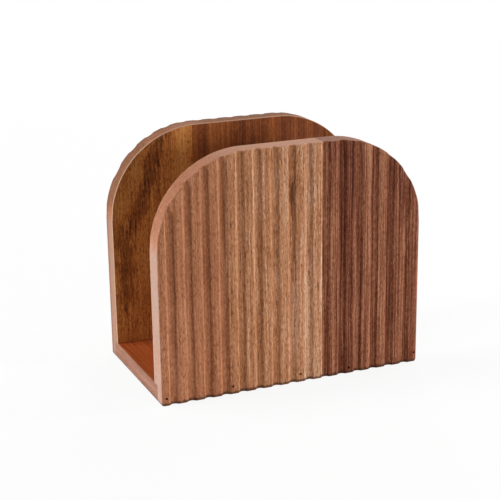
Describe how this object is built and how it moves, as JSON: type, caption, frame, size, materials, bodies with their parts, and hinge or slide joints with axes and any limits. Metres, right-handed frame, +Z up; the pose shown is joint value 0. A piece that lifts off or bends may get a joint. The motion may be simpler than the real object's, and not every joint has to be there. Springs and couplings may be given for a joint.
{
  "type": "napkin holder",
  "caption": "Upright wooden napkin holder: fluted arched panels stand on the long edges of a base board, open at the top and at both ends.",
  "frame": {"origin": "middle of the underside, where the holder stands", "axes": "+X along the panels, +Y from the front panel to the back panel, +Z up"},
  "size_m": [0.156, 0.087, 0.135],
  "materials": {
    "reddish_wood": "thin matt oil, sawn edges paler",
    "tan_wood": "thin matt oil, sawn edges paler",
    "dark_wood": "thin matt oil, dark streaks",
    "golden_wood": "thin satin oil, dark streak",
    "umber_wood": "thin satin oil",
    "russet_wood": "thin satin oil",
    "base_wood": "thin satin oil, sawn ends paler",
    "brad_steel": "dulled steel"
  },
  "bodies": {
    "root": {"front_panel_left_board": "reddish_wood", "front_panel_middle_board": "tan_wood", "front_panel_right_board": "dark_wood", "back_panel_left_board": "golden_wood", "back_panel_middle_board": "umber_wood", "back_panel_right_board": "russet_wood", "base_left_board": "base_wood", "base_middle_board": "base_wood", "base_right_board": "base_wood", "front_brads": "brad_steel", "back_brads": "brad_steel"}
  },
  "joints": []
}
